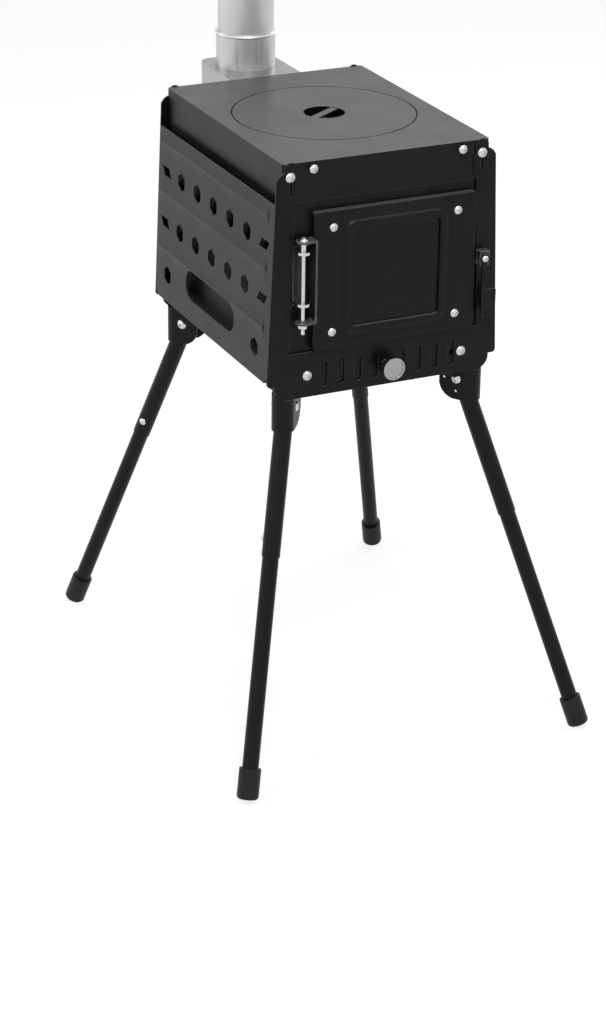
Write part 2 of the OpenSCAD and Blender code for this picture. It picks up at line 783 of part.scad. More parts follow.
module flue_box() color("#bdbdc0") difference() {
  union() {
    translate([0, 0, top_z - flue_h]) linear_extrude(flue_h) flue_plan(0);
    front_sheet(-face_y + 2 * fit, flue_t) translate([0, top_z - flange_z])
      rrect(2 * flue_r + 16, flange_h, 5);
  }
  translate([0, 0, top_z - flue_h + flue_t]) linear_extrude(flue_h - 2 * flue_t) difference() {
    flue_plan(flue_t);
    translate([-flue_r, -face_y - 1]) square([2 * flue_r, 1 + 2 * fit + flue_t]);
  }
  front_sheet(-face_y - 5, 10) translate([0, top_z - inlet_z]) rrect(2 * (flue_r - flue_t), inlet_h, 5);
  translate([0, flue_y, top_z - 5]) cylinder(r = collar_r, h = 10);
  flue_screw_holes();
}

module flue_gasket() color("#8b8b84") difference() {
  front_sheet(-plate_y + fit / 2, slider_gap) difference() {
    translate([0, top_z - flange_z]) rrect(2 * flue_r + 15, flange_h - 1, 5);
    translate([0, top_z - inlet_z]) rrect(2 * inlet_h + 4, inlet_h + 1, 5);
  }
  flue_screw_holes();
}

// The wider tail of the pipe slides over the collar's spigot and stands on its ledge
tail_d = pipe_d + 4;
collar_r = tail_d / 2 + 0.4;
spigot_r = tail_d / 2 - pipe_t - 0.3;

module flue_collar() color("#c4c4c7") translate([0, flue_y, top_z - flue_t - fit]) rotate_extrude() {
  translate([collar_r, -flue_t]) square([3, flue_t]);
  translate([collar_r, -tail_in]) square([flue_t, tail_in]);
  translate([spigot_r - flue_t, -tail_in]) square([collar_r + 2 * flue_t - spigot_r, flue_t]);
  translate([spigot_r - flue_t, -tail_in]) square([flue_t, tail_in + flue_t + spigot_h]);
}

module flue_screws() color(steel_bright)
  at_flue_screws(-face_y + 2 * fit + flue_t) {
    dome_head(7, 2.2);
    translate([0, 0, -9]) cylinder(d = small_screw, h = 9.2);
    translate([0, 0, -slider_gap - sheet - flue_t - 3.2]) cylinder(d = 7, h = 2.8, $fn = 6);
  }

module chimney_pipe() color("#c9c9cc") translate([0, flue_y, top_z - tail_in]) rotate_extrude() {
  translate([tail_d / 2 - pipe_t, 0]) square([pipe_t, tail_l]);
  translate([pipe_d / 2 - pipe_t, tail_l]) square([pipe_t, pipe_l - tail_l]);
  // rolled bead where the pipe narrows
  translate([pipe_d / 2 - pipe_t, tail_l - 0.5]) square([3, 1.5]);
  translate([pipe_d / 2 + 1.2, tail_l - 0.8]) circle(1.8);
}

// Legs. In the frame of a leg +X points outward from the middle of the stove

module at_leg(c) {
  translate([c[0] * leg_x, c[1] * leg_y, pivot_z])
    rotate([0, 0, atan2(c[1] * leg_y, c[0] * leg_x)]) children();
}

// The same, turned so that the open leg runs along -Z
module on_leg(c) {
  at_leg(c) rotate([0, -leg_lean, 0]) children();
}

bolt_d = 6;
cheek_in = tube_d / 2 + 0.4;  // half the room between the cheeks
cheek_t = 2;
bend_x = 10.8;                // where the cheeks run into the round back
detent_r = 14.5;              // from the pivot to the detent holes
clamp_z = 20;                 // clamp screw above the upper tube's end

module cheek_side() {
  difference() {
    union() {
      translate([-20, 0]) square([bend_x + 20 + cheek_in + cheek_t, leg_drop - 0.05]);
      translate([-20, -8]) square([bend_x + 20 + cheek_in + cheek_t, 8.5]);
      translate([0, -4]) circle(20);
      translate([0, -24]) square([bend_x + cheek_in + cheek_t, 24.5]);
    }
    circle(d = bolt_d + screw_fit);
    for (detent = [[0, -detent_r], [-detent_r, 0]]) translate(detent) circle(d = 3);
  }
}

// Channel, seen from above, with its round back to the outside
module cheek_plan(r) {
  translate([bend_x, 0]) circle(r);
  translate([-40, -r]) square([40 + bend_x, 2 * r]);
}

module leg_brackets() color(steel_dark) difference() {
  for (c = corners) union() {
    at_leg(c) intersection() {
      translate([0, 0, -30]) linear_extrude(30 + leg_drop - 0.05) difference() {
        cheek_plan(cheek_in + cheek_t);
        cheek_plan(cheek_in);
      }
      rotate([90, 0, 0]) linear_extrude(60, center = true) cheek_side();
    }
    intersection() {
      at_leg(c) translate([-20, -20, leg_drop - 2.05]) cube([32, 40, 2]);
      translate([-wall_x, plate_y + sheet, 0]) cube([2 * wall_x, tray_d - 8, 1000]);
    }
  }
  for (c = corners) at_leg(c) bracket_holes(small_screw + screw_fit);
  // room for the lower edges of the outer frames
  for (s = [-1, 1]) translate([-200, s * (tray_d / 2 + 20) - 20.4, top_z - band_end - 0.4])
    cube([400, 40.8, 20]);
}

module bracket_screws() color(steel_bright) for (c = corners) at_leg(c) for (y = bracket_screw_y)
  translate([-bracket_screw_x, y, leg_drop - 2.05]) rotate([180, 0, 0]) {
    dome_head(8, 2);
    translate([0, 0, -7.4]) cylinder(d = small_screw, h = 7.6);
    translate([0, 0, -3.7 - 2.8]) cylinder(d = 7, h = 2.8, $fn = 6);
  }

module pivot_bolts() color(steel_bright) for (c = corners) at_leg(c) rotate([90, 0, 0]) {
  translate([0, 0, -cheek_in - cheek_t - 1]) cylinder(d = bolt_d, h = 2 * (cheek_in + cheek_t + 1));
  translate([0, 0, cheek_in + cheek_t]) dome_head(head_d, 3.2);
  mirror([0, 0, 1]) translate([0, 0, cheek_in + cheek_t]) dome_head(head_d, 3.2);
}

module upper_leg(c) color(steel_dark) on_leg(c) difference() {
  union() {
    difference() {
      translate([0, 0, -leg_cut]) cylinder(d = tube_d, h = leg_cut + 9);
      translate([0, 0, -leg_cut - 1]) cylinder(d = tube_in + 0.4, h = leg_cut + 8.2);
    }
    // swaged stop for the lower tube
    translate([0, 0, -leg_cut + tube_lap + 0.1]) difference() {
      cylinder(d = tube_in + 1, h = 3);
      translate([0, 0, -1]) cylinder(d = tube_in - 4, h = 6);
    }
  }
  rotate([90, 0, 0]) cylinder(d = bolt_d + 2 * pin_play, h = 40, center = true);
  translate([0, 0, -leg_cut + clamp_z]) rotate([screw_side(c) * 90, 0, 0])
    cylinder(d = small_screw + screw_fit, h = 20);
}

function screw_side(c) = c[0] * c[1] > 0 ? 1 : -1;

module leg_screw(c) color(steel_bright) on_leg(c) translate([0, 0, -leg_cut + clamp_z])
  rotate([screw_side(c) * 90, 0, 0]) {
    difference() {
      translate([0, 0, tube_d / 2 - 1]) union() {
        cylinder(d = 8, h = 1.6);
        translate([0, 0, 1.6]) dome_head(8, 1.8);
      }
      rotate([90, 0, 0]) cylinder(d = tube_d + 0.04, h = 20, center = true);
    }
    translate([0, 0, tube_in / 2 + 0.1]) cylinder(d = small_screw, h = 2);
  }

module lower_leg(c) color(steel_dark) on_leg(c) translate([0, 0, -leg_l + 3]) difference() {
  cylinder(d = tube_in, h = leg_l - leg_cut + tube_lap - 3);
  translate([0, 0, -1]) cylinder(d = tube_in - 2, h = leg_l);
}

module foot(c) color("#1c1c1d") intersection() {
  on_leg(c) translate([0, 0, -leg_l]) rotate_extrude() difference() {
    union() {
      translate([0, foot_f]) square([foot_d / 2, foot_l - foot_f]);
      square([foot_d / 2 - foot_f, foot_l]);
      translate([foot_d / 2 - foot_f, foot_f]) circle(foot_f);
    }
    translate([-50, -1]) square([50, 60]);
    translate([0, 3]) square([tube_in / 2 + 0.01, foot_l]);
  }
  translate([-500, -500, 0]) cube([1000, 1000, 200]);
}

module upper_leg_fl() upper_leg(corners[0]);
module upper_leg_fr() upper_leg(corners[1]);
module upper_leg_rl() upper_leg(corners[2]);
module upper_leg_rr() upper_leg(corners[3]);
module lower_leg_fl() lower_leg(corners[0]);
module lower_leg_fr() lower_leg(corners[1]);
module lower_leg_rl() lower_leg(corners[2]);
module lower_leg_rr() lower_leg(corners[3]);
module foot_fl() foot(corners[0]);
module foot_fr() foot(corners[1]);
module foot_rl() foot(corners[2]);
module foot_rr() foot(corners[3]);
module leg_screw_fl() leg_screw(corners[0]);
module leg_screw_fr() leg_screw(corners[1]);
module leg_screw_rl() leg_screw(corners[2]);
module leg_screw_rr() leg_screw(corners[3]);

top_tray();
lid_seat_ring();
burner_lid();
lid_grip_bar();
firebox_shell();
front_plate();
grate();
grate_rails();
spark_baffle();
front_frame();
rear_frame();
side_shield_left();
side_shield_right();
door_panel();
door_glass();
glass_retainer();
door_gasket();
door_screws();
door_nuts();
hinge_bracket_door();
hinge_bracket_stove();
hinge_knuckles();
hinge_pin();
hinge_nut();
latch_bracket();
latch_lever();
latch_screw();
air_slider();
frame_spacers();
air_knob();
knob_screw();
tray_bolts();
ear_screws();
band_screws();
flue_box();
flue_gasket();
flue_collar();
flue_screws();
chimney_pipe();
leg_brackets();
bracket_screws();
pivot_bolts();
upper_leg_fl();
upper_leg_fr();
upper_leg_rl();
upper_leg_rr();
lower_leg_fl();
lower_leg_fr();
lower_leg_rl();
lower_leg_rr();
foot_fl();
foot_fr();
foot_rl();
foot_rr();
leg_screw_fl();
leg_screw_fr();
leg_screw_rl();
leg_screw_rr();
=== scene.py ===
"""Looks for a folding-leg camping wood stove.

The CAD nodes keep their shapes and get their finishes here. The door's pressed skin, its rope seal and the
hinge pin's thread are modelled as meshes of their own. Lengths are metres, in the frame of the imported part.
"""
import math

import bmesh
import bpy
from mathutils import Matrix, Vector


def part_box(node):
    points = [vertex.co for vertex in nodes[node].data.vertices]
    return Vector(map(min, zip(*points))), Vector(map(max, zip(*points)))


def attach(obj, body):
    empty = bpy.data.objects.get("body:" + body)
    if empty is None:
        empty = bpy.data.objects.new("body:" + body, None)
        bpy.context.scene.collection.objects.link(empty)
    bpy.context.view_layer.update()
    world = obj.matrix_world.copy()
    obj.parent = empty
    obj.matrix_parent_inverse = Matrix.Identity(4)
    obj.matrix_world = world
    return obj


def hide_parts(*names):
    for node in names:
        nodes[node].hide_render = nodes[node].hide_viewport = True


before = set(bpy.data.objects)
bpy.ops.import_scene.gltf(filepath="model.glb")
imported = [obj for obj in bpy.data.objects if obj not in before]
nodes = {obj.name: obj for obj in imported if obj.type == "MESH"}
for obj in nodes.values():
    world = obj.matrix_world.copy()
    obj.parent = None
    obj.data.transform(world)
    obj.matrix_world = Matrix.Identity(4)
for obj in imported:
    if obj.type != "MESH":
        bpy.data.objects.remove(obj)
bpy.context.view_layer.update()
mm = 0.001
EVEN = (1, 1, 1)        # a texture with no stretch
UPRIGHT = (1, 1, 0.02)  # a texture drawn out along Z


# Shader helpers

def new_material(name):
    """A material with its Principled shader, ready for more nodes."""
    material = bpy.data.materials.new(name)
    material.use_nodes = True
    tree = material.node_tree
    shader = tree.nodes["Principled BSDF"]
    return material, tree, shader


def object_coordinates(tree, stretch=EVEN):
    """Coordinates in metres that stay on the piece, stretched along its axes."""
    coordinates = tree.nodes.new("ShaderNodeTexCoord")
    mapping = tree.nodes.new("ShaderNodeMapping")
    mapping.inputs["Scale"].default_value = stretch
    tree.links.new(coordinates.outputs["Object"], mapping.inputs["Vector"])
    return mapping.outputs["Vector"]


def noise(tree, vector, scale, detail=3.0, roughness=0.5):
    """A noise texture with scale waves to the metre."""
    texture = tree.nodes.new("ShaderNodeTexNoise")
    texture.inputs["Scale"].default_value = scale
    texture.inputs["Detail"].default_value = detail
    texture.inputs["Roughness"].default_value = roughness
    tree.links.new(vector, texture.inputs["Vector"])
    return texture.outputs["Fac"]


def spread(tree, value, low, high, start=0.35, end=0.65):
    """Maps a noise's middle range to low..high."""
    node = tree.nodes.new("ShaderNodeMapRange")
    node.inputs["From Min"].default_value = start
    node.inputs["From Max"].default_value = end
    node.inputs["To Min"].default_value = low
    node.inputs["To Max"].default_value = high
    tree.links.new(value, node.inputs["Value"])
    return node.outputs["Result"]


def two_tone(tree, value, dark, light):
    """Maps a noise's middle range to colours from dark to light."""
    ramp = tree.nodes.new("ShaderNodeValToRGB")
    for stop, position, colour in zip(ramp.color_ramp.elements, (0.3, 0.7), (dark, light)):
        stop.position = position
        stop.color = (*colour, 1)
    tree.links.new(value, ramp.inputs["Fac"])
    return ramp.outputs["Color"]


def rounded_edges(tree, radius):
    """Normals that turn softly over the sheet's edges."""
    bevel = tree.nodes.new("ShaderNodeBevel")
    bevel.samples = 4
    bevel.inputs["Radius"].default_value = radius
    return bevel.outputs["Normal"]


def bump(tree, height, distance, strength, normal=None):
    """Normals of a surface that the height lifts by up to the distance."""
    node = tree.nodes.new("ShaderNodeBump")
    node.inputs["Strength"].default_value = strength
    node.inputs["Distance"].default_value = distance
    tree.links.new(height, node.inputs["Height"])
    if normal is not None:
        tree.links.new(normal, node.inputs["Normal"])
    return node.outputs["Normal"]


def edge_wear_and_highlight_mask(tree, soft_normal, cloud):
    """Where the softened normal leaves the true one, broken up by the cloud: the edges, tinted lighter as partly
    rubbed wear and partly a painted highlight.
    """
    full_edge_tint, no_edge_tint = 0.90, 0.995  # the two normals' product
    geometry = tree.nodes.new("ShaderNodeNewGeometry")
    alike = tree.nodes.new("ShaderNodeVectorMath")
    alike.operation = "DOT_PRODUCT"
    tree.links.new(geometry.outputs["Normal"], alike.inputs[0])
    tree.links.new(soft_normal, alike.inputs[1])
    edge = spread(tree, alike.outputs["Value"], 1.0, 0.0, full_edge_tint, no_edge_tint)
    broken = tree.nodes.new("ShaderNodeMath")
    broken.operation = "MULTIPLY"
    tree.links.new(edge, broken.inputs[0])
    tree.links.new(spread(tree, cloud, 0.35, 1.0), broken.inputs[1])
    return broken.outputs["Value"]


def facing_up(tree):
    """1 on faces that look up, 0 on upright ones."""
    coordinates = tree.nodes.new("ShaderNodeTexCoord")
    split = tree.nodes.new("ShaderNodeSeparateXYZ")
    tree.links.new(coordinates.outputs["Normal"], split.inputs["Vector"])
    return spread(tree, split.outputs["Z"], 0.0, 1.0, 0.5, 0.9)


def blend_colours(tree, factor, first, second):
    """Goes from the first colour to the second with the factor. Each is a tuple or a socket."""
    mix = tree.nodes.new("ShaderNodeMix")
    mix.data_type = "RGBA"
    tree.links.new(factor, mix.inputs["Factor"])
    for value, socket in ((first, mix.inputs["A"]), (second, mix.inputs["B"])):
        if isinstance(value, tuple):
            socket.default_value = (*value, 1)
        else:
            tree.links.new(value, socket)
    return mix.outputs["Result"]


# Finishes

def powder_coat(name, dark, light, roughness, ior, edge_wear_and_highlight=(0.15, 0.15, 0.153), painted_top_sheen=(0.05, 0.05, 0.05)):
    """Satin black coating: a fine orange peel over folded sheet, cloudy gloss, edges painted lighter, partly as
    rubbed wear and partly as a painted highlight.

    The edge colour argument is partly rubbed wear and partly a painted highlight; the up-facing colour argument is
    a painted sheen on faces that look up.
    """
    edge = 0.6 * mm
    peel_height = 0.03 * mm
    grain_height = 0.012 * mm
    cloudiness = 0.035  # of the roughness
    material, tree, shader = new_material(name)
    place = object_coordinates(tree)
    cloud = noise(tree, place, 22, 4)
    peel = noise(tree, place, 900, 2)
    grain = noise(tree, place, 2600, 2)
    soft = rounded_edges(tree, edge)
    base = two_tone(tree, cloud, dark, light)
    # Faces that look up turn lighter: a painted sheen, the light the top catches painted into the colour.
    base = blend_colours(tree, facing_up(tree), base, painted_top_sheen)
    # Edges turn lighter: partly rubbed wear, partly a painted highlight along the edges.
    base = blend_colours(tree, edge_wear_and_highlight_mask(tree, soft, noise(tree, place, 160, 3)), base, edge_wear_and_highlight)
    tree.links.new(base, shader.inputs["Base Color"])
    tree.links.new(spread(tree, cloud, roughness - cloudiness, roughness + cloudiness), shader.inputs["Roughness"])
    shader.inputs["IOR"].default_value = ior
    soft = bump(tree, peel, peel_height, 0.35, soft)
    tree.links.new(bump(tree, grain, grain_height, 0.4, soft), shader.inputs["Normal"])
    return material


def stainless(name, colour, roughness, stretch, lines=0.02, top=None):
    """Bright steel with fine lines, lines mm deep, drawn out where the stretch is small.

    top is a colour painted on faces that look up, where it differs; the flue box uses it as painted shade on its
    top.
    """
    edge = 0.4 * mm
    cloud_shade = 0.9
    material, tree, shader = new_material(name)
    drawn = noise(tree, object_coordinates(tree, stretch), 300, 3, 0.6)
    cloud = noise(tree, object_coordinates(tree), 14, 3)
    darker = tuple(c * cloud_shade for c in colour)
    base = two_tone(tree, cloud, darker, colour)
    # Faces that look up get the top colour: painted shade.
    if top:
        base = blend_colours(tree, facing_up(tree), base, top)
    tree.links.new(base, shader.inputs["Base Color"])
    tree.links.new(spread(tree, drawn, roughness - 0.05, roughness + 0.06), shader.inputs["Roughness"])
    shader.inputs["Metallic"].default_value = 1.0
    soft = rounded_edges(tree, edge)
    tree.links.new(bump(tree, drawn, lines * mm, 0.3, soft), shader.inputs["Normal"])
    return material


def cast_iron(name):
    """Rough dark casting with small pits."""
    edge = 0.8 * mm
    pit_depth = 0.25 * mm
    material, tree, shader = new_material(name)
    place = object_coordinates(tree)
    pits = noise(tree, place, 420, 5, 0.65)
    tree.links.new(two_tone(tree, noise(tree, place, 60), (0.012, 0.012, 0.012), (0.035, 0.033, 0.031)),
                   shader.inputs["Base Color"])
    tree.links.new(spread(tree, pits, 0.6, 0.8), shader.inputs["Roughness"])
    tree.links.new(bump(tree, pits, pit_depth, 0.8, rounded_edges(tree, edge)), shader.inputs["Normal"])
    return material


def window_glass(name):
    """Smoked glass, clouded by soot."""
    material, tree, shader = new_material(name)
    smoke = noise(tree, object_coordinates(tree), 35, 4)
    tree.links.new(two_tone(tree, smoke, (0.10, 0.102, 0.105), (0.14, 0.143, 0.147)), shader.inputs["Base Color"])
    tree.links.new(spread(tree, smoke, 0.10, 0.16), shader.inputs["Roughness"])
    shader.inputs["Transmission Weight"].default_value = 1.0
    shader.inputs["IOR"].default_value = 1.28
    return material


def moulded_rubber(name):
    """Matt black rubber with a fine mould texture."""
    edge = 1.0 * mm
    texture_depth = 0.08 * mm
    material, tree, shader = new_material(name)
    place = object_coordinates(tree)
    texture = noise(tree, place, 700, 3)
    tree.links.new(two_tone(tree, noise(tree, place, 50), (0.005, 0.005, 0.005), (0.009, 0.009, 0.009)),
                   shader.inputs["Base Color"])
    tree.links.new(spread(tree, texture, 0.45, 0.57), shader.inputs["Roughness"])
    shader.inputs["IOR"].default_value = 1.3
    tree.links.new(bump(tree, texture, texture_depth, 0.5, rounded_edges(tree, edge)), shader.inputs["Normal"])
    return material


def glass_rope(name):
    """Dull grey fibre of the rope seals."""
    fibre_depth = 0.15 * mm
    material, tree, shader = new_material(name)
    place = object_coordinates(tree)
    fibre = noise(tree, place, 1500, 4, 0.7)
    tree.links.new(two_tone(tree, fibre, (0.10, 0.10, 0.095), (0.24, 0.235, 0.22)), shader.inputs["Base Color"])
    shader.inputs["Roughness"].default_value = 0.9
    shader.inputs["Sheen Weight"].default_value = 0.3
    tree.links.new(bump(tree, fibre, fibre_depth, 0.8), shader.inputs["Normal"])
    return material


COAT_DARK = (0.0025, 0.0025, 0.0026)
COAT_LIGHT = (0.0045, 0.0045, 0.0047)
# The edge colours set below are partly rubbed wear and partly a painted highlight.
coat = powder_coat("satin black coat", COAT_DARK, COAT_LIGHT, 0.38, 1.25, edge_wear_and_highlight=(0.08, 0.08, 0.082))
# The top plate's up-facing colour is a smaller painted sheen, so the top reads darker.
top_coat = powder_coat("top plate coat", COAT_DARK, COAT_LIGHT, 0.38, 1.265, painted_top_sheen=(0.033, 0.033, 0.034))
sooty_coat = powder_coat("sooty seat coat", (0.0020, 0.0020, 0.0020), (0.0035, 0.0035, 0.0035), 0.62, 1.12,
                         edge_wear_and_highlight=(0.010, 0.010, 0.010), painted_top_sheen=(0.006, 0.006, 0.006))
# The side shields get a lighter copy of the black coat: painted light, the side lit more than the front.
lit_side_coat = powder_coat("side shield coat painted lighter", (0.008, 0.008, 0.0084), (0.012, 0.012, 0.0124), 0.40, 1.28)
fire_coat = powder_coat("firebox coat", (0.010, 0.010, 0.010), (0.018, 0.0175, 0.017), 0.55, 1.3,
                        painted_top_sheen=(0.03, 0.03, 0.03))
# The brackets' bright edges are partly rubbed bare metal and partly a painted highlight.
rubbed_and_highlit_coat = powder_coat("bracket coat with rubbed and highlit edges", (0.010, 0.010, 0.010), (0.020, 0.020, 0.020), 0.35, 1.45,
                          edge_wear_and_highlight=(0.55, 0.55, 0.56))
bright = stainless("turned stainless", (0.62, 0.62, 0.63), 0.20, EVEN, 0.01)
knob_steel = stainless("faced knob steel", (0.36, 0.36, 0.37), 0.24, EVEN, 0.01)
pipe_steel = stainless("drawn stainless sheet", (0.57, 0.57, 0.575), 0.42, UPRIGHT, 0.008)
# The flue box's top is painted darker: painted shade on the faces that look up.
box_steel = stainless("flue box stainless", (0.43, 0.43, 0.435), 0.30, UPRIGHT, top=(0.25, 0.25, 0.252))
iron = cast_iron("cast grate")
glass = window_glass("window glass")
rubber = moulded_rubber("black rubber")
rope = glass_rope("woven seal")

LEGS = ("fl", "fr", "rl", "rr")
finishes = {
    coat: ["front_plate", "front_frame", "rear_frame", "door_panel", "latch_lever", "leg_brackets", "air_slider"]
          + ["upper_leg_" + leg for leg in LEGS] + ["lower_leg_" + leg for leg in LEGS],
    top_coat: ["top_tray", "burner_lid", "lid_grip_bar"],
    sooty_coat: ["lid_seat_ring"],
    lit_side_coat: ["side_shield_left", "side_shield_right"],
    fire_coat: ["firebox_shell", "grate_rails", "spark_baffle", "glass_retainer"],
    rubbed_and_highlit_coat: ["hinge_bracket_door", "hinge_bracket_stove", "latch_bracket"],
    bright: ["hinge_knuckles", "hinge_pin", "hinge_nut", "latch_screw", "frame_spacers", "knob_screw",
             "door_screws", "door_nuts", "tray_bolts", "ear_screws", "band_screws", "flue_screws",
             "bracket_screws", "pivot_bolts"] + ["leg_screw_" + leg for leg in LEGS],
    knob_steel: ["air_knob"],
    pipe_steel: ["flue_collar", "chimney_pipe"],
    box_steel: ["flue_box"],
    iron: ["grate"],
    glass: ["door_glass"],
    rope: ["door_gasket", "flue_gasket"],
    rubber: ["foot_" + leg for leg in LEGS],
}
for material, names in finishes.items():
    for name in names:
        mesh = nodes[name].data
        mesh.materials.clear()
        mesh.materials.append(material)


# Mesh helpers

def mesh_piece(name, points, faces, material, smooth_angle):
    """A smooth-shaded object whose edges over the angle stay sharp."""
    mesh = bpy.data.meshes.new(name)
    mesh.from_pydata([tuple(p) for p in points], [], faces)
    mesh.validate()
    work = bmesh.new()
    work.from_mesh(mesh)
    bmesh.ops.recalc_face_normals(work, faces=work.faces)
    work.to_mesh(mesh)
    work.free()
    mesh.materials.append(material)
    piece = bpy.data.objects.new(name, mesh)
    bpy.context.scene.collection.objects.link(piece)
    for face in mesh.polygons:
        face.use_smooth = True
    mesh.set_sharp_from_angle(angle=smooth_angle)
    return piece


def round_rectangle(half_w, half_h, radius, steps=8):
    """Points round a rectangle with round corners, as (across, up)."""
    points = []
    for corner, (right, top) in enumerate(((1, 1), (-1, 1), (-1, -1), (1, -1))):
        for step in range(steps + 1):
            angle = math.radians(90 * corner + 90 * step / steps)
            points.append((right * (half_w - radius) + radius * math.cos(angle),
                           top * (half_h - radius) + radius * math.sin(angle)))
    return points


def loft(loops):
    """Faces between loops of equally many points, and from the last loop to the first."""
    count = len(loops[0])
    points = [p for loop in loops for p in loop]
    faces = []
    for k in range(len(loops)):
        a = k * count
        b = ((k + 1) % len(loops)) * count
        for i in range(count):
            j = (i + 1) % count
            faces.append((a + i, a + j, b + j, b + i))
    return points, faces


# Door: the pressed skin, in place of the plain pan

door_low, door_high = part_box("door_panel")
glass_low, glass_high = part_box("door_glass")
sheet = 1.5 * mm
glass_lap = 11 * mm  # of the glass behind the skin
window_w = (glass_high.x - glass_low.x) / 2 - glass_lap
window_h = (glass_high.z - glass_low.z) / 2 - glass_lap
window_corner = 5.5 * mm
rim_h = 2.2 * mm
# The pressed rim: distance outside the window and height over the door's face, in mm
RIM = [(16.0, 0.0), (14.6, -0.10), (13.2, -0.35), (12.0, -0.55), (11.0, -0.60), (10.2, -0.40), (9.4, 0.15),
       (8.6, 0.85), (7.8, 1.45), (7.0, 1.85), (6.0, 2.08), (4.8, 2.18), (3.6, 2.20), (2.6, 2.15), (1.6, 1.95),
       (0.9, 1.6), (0.35, 1.1), (0.0, 0.45)]
door_front = door_low.y + rim_h
door_centre = (door_low + door_high) / 2
door_w = (door_high.x - door_low.x) / 2
door_h = (door_high.z - door_low.z) / 2


def door_skin():
    """One closed skin: rolled outer edge, flat face, soft raised rim and the window's turned edge."""
    edge = 1.3 * mm
    edge_steps = 4
    corner = 4 * mm
    inner_corner = 2.8 * mm
    back = door_front + sheet + 0.1 * mm
    back_flat = 2 * mm  # behind the window's edge
    # Each loop's half width, half height, corner radius and place along Y
    profile = [(door_w, door_h, corner, door_high.y), (door_w, door_h, corner, door_front + edge)]
    for step in range(1, edge_steps + 1):
        turn = math.radians(90 * step / edge_steps)
        inset = edge * (1 - math.cos(turn))
        profile.append((door_w - inset, door_h - inset, corner - inset, door_front + edge * (1 - math.sin(turn))))
    for outside, rise in RIM:
        outside *= mm
        profile.append((window_w + outside, window_h + outside, window_corner + outside, door_front - rise * mm))
    profile.append((window_w, window_h, window_corner, back))
    profile.append((window_w + back_flat, window_h + back_flat, window_corner + 1.5 * mm, back))
    profile.append((door_w - edge, door_h - edge, inner_corner + 0.2 * mm, back))
    profile.append((door_w - sheet, door_h - sheet, inner_corner, back + 0.9 * mm))
    profile.append((door_w - sheet, door_h - sheet, inner_corner, door_high.y))
    loops = []
    for half_w, half_h, radius, y in profile:
        loops.append([Vector((door_centre.x + x, y, door_centre.z + z))
                      for x, z in round_rectangle(half_w, half_h, radius)])
    piece = mesh_piece("door_skin", *loft(loops), coat, math.radians(50))
    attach(piece, "door")
    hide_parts("door_panel")


def rope_loop(name, centre, half_w, half_h, corner, radius, body, replaced):
    """A twisted rope that lies in a round-cornered loop in the plane of the door."""
    corner_steps = 6
    step_length = 1.6 * mm
    lay = 14 * mm  # length of one turn of the strands
    strands = 3
    sides = 15
    groove = 0.10  # share of the radius that the strands rise and fall
    outline = round_rectangle(half_w, half_h, corner, corner_steps)
    path = []
    for (x0, z0), (x1, z1) in zip(outline, outline[1:] + outline[:1]):
        length = math.hypot(x1 - x0, z1 - z0)
        pieces = max(1, round(length / step_length))
        path += [(x0 + (x1 - x0) * i / pieces, z0 + (z1 - z0) * i / pieces) for i in range(pieces)]
    loops = []
    turns = round(len(path) * step_length / lay)
    for i, (x, z) in enumerate(path):
        ahead = Vector(path[(i + 1) % len(path)])
        behind = Vector(path[i - 1])
        along = (ahead - behind).normalized()
        out = Vector((along.y, 0, -along.x))
        twist = 2 * math.pi * turns * i / len(path)
        ring = []
        for k in range(sides):
            angle = 2 * math.pi * k / sides
            r = radius * (1 - groove + groove * math.cos(strands * (angle + twist)))
            ring.append(Vector((centre.x + x, centre.y, centre.z + z)) + out * (r * math.cos(angle))
                        + Vector((0, r * math.sin(angle), 0)))
        loops.append(ring)
    piece = mesh_piece(name, *loft(loops), rope, math.radians(180))
    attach(piece, body)
    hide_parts(replaced)


def thread(name, start, direction, radius, length, pitch, body):
    """A shallow screw thread, wound from start along direction."""
    direction = direction.normalized()
    side = direction.orthogonal().normalized()
    up = direction.cross(side)
    steps = 14           # to a turn
    root = radius - 0.25 * mm
    crest = radius + 0.12 * mm
    half_ridge = 0.42    # of the pitch
    rings = int(length / pitch * steps)
    points = []
    for i in range(rings + 1):
        angle = 2 * math.pi * i / steps
        along = length * i / rings
        out = side * math.cos(angle) + up * math.sin(angle)
        for r, shift in ((root, -half_ridge), (crest, 0.0), (root, half_ridge)):
            points.append(start + direction * (along + shift * pitch) + out * r)
    faces = []
    for i in range(rings):
        for k in range(3):
            j = (k + 1) % 3
            faces.append((3 * i + k, 3 * i + j, 3 * i + 3 + j, 3 * i + 3 + k))
    faces.append((0, 1, 2))
    faces.append((3 * rings, 3 * rings + 1, 3 * rings + 2))
    piece = mesh_piece(name, points, faces, bright, math.radians(30))
    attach(piece, body)


door_skin()
seal_low, seal_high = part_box("door_gasket")
seal_w = (seal_high.x - seal_low.x) / 2
seal_h = (seal_high.z - seal_low.z) / 2
rope_r = 2.7 * mm
rope_gap = 0.3 * mm       # inside the CAD seal's outline
rope_corner = 5 * mm
rope_loop("door_rope", Vector((door_centre.x, seal_high.y - rope_r, door_centre.z)), seal_w - rope_r - rope_gap,
          seal_h - rope_r - rope_gap, rope_corner, rope_r, "door", "door_gasket")

pin_low, pin_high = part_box("hinge_pin")
pin_axis = Vector(((pin_low.x + pin_high.x) / 2, (pin_low.y + pin_high.y) / 2, 0))
thread_start = 0.8 * mm   # above the pin's lower end
thread_r = 2.4 * mm
thread_l = 6.5 * mm
thread_pitch = 0.9 * mm
thread("pin_thread", pin_axis + Vector((0, 0, pin_low.z + thread_start)), Vector((0, 0, 1)), thread_r,
       thread_l, thread_pitch, "stove")


# Stage, light and camera

